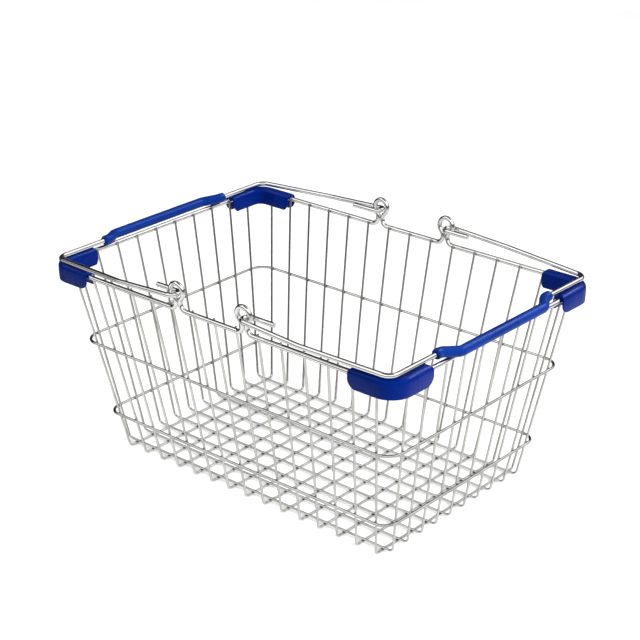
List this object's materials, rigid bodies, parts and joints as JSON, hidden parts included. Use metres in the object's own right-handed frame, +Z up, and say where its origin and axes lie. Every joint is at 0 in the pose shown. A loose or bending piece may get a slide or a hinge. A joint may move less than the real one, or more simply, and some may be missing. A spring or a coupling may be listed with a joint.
{
  "type": "wire shopping basket",
  "caption": "Chrome wire shopping basket with plastic corner guards and folding bail handles that hook into rings in the rim.",
  "frame": {"origin": "on the surface the basket stands on, under the middle of the basket", "axes": "+Z up, +X along the basket's length, +Y along its width; the handles fold towards -X and +X"},
  "size_m": [0.4496, 0.3146, 0.2295],
  "materials": {
    "chrome_wire": "bright chrome plate on drawn steel wire",
    "guard_plastic": "moulded, deep blue, satin gloss",
    "grip_plastic": "soft sleeve, deep blue, satin gloss"
  },
  "bodies": {
    "basket": {"rim_wire": "chrome_wire", "cross_wire_01": "chrome_wire", "cross_wire_02": "chrome_wire", "cross_wire_03": "chrome_wire", "cross_wire_04": "chrome_wire", "cross_wire_05": "chrome_wire", "cross_wire_06": "chrome_wire", "cross_wire_07": "chrome_wire", "cross_wire_08": "chrome_wire", "cross_wire_09": "chrome_wire", "cross_wire_10": "chrome_wire", "cross_wire_11": "chrome_wire", "cross_wire_12": "chrome_wire", "cross_wire_13": "chrome_wire", "cross_wire_14": "chrome_wire", "cross_wire_15": "chrome_wire", "long_wire_01": "chrome_wire", "long_wire_02": "chrome_wire", "long_wire_03": "chrome_wire", "long_wire_04": "chrome_wire", "long_wire_05": "chrome_wire", "long_wire_06": "chrome_wire", "long_wire_07": "chrome_wire", "long_wire_08": "chrome_wire", "long_wire_09": "chrome_wire", "long_wire_10": "chrome_wire", "upper_hoop": "chrome_wire", "lower_hoop": "chrome_wire", "guard_front_left": "guard_plastic", "guard_back_left": "guard_plastic", "guard_front_right": "guard_plastic", "guard_back_right": "guard_plastic"},
    "left_handle": {"left_handle_wire": "chrome_wire", "left_grip": "grip_plastic"},
    "right_handle": {"right_handle_wire": "chrome_wire", "right_grip": "grip_plastic"}
  },
  "joints": [
    {"name": "left_handle_hinge", "type": "hinge", "parent": "basket", "child": "left_handle", "pos_m": [-0.0422, 0, 0.21599], "axis": [0, 1, 0], "range_deg": [0, 104.8]},
    {"name": "right_handle_hinge", "type": "hinge", "parent": "basket", "child": "right_handle", "pos_m": [0.0422, 0, 0.21599], "axis": [0, -1, 0], "range_deg": [0, 104.8]}
  ]
}
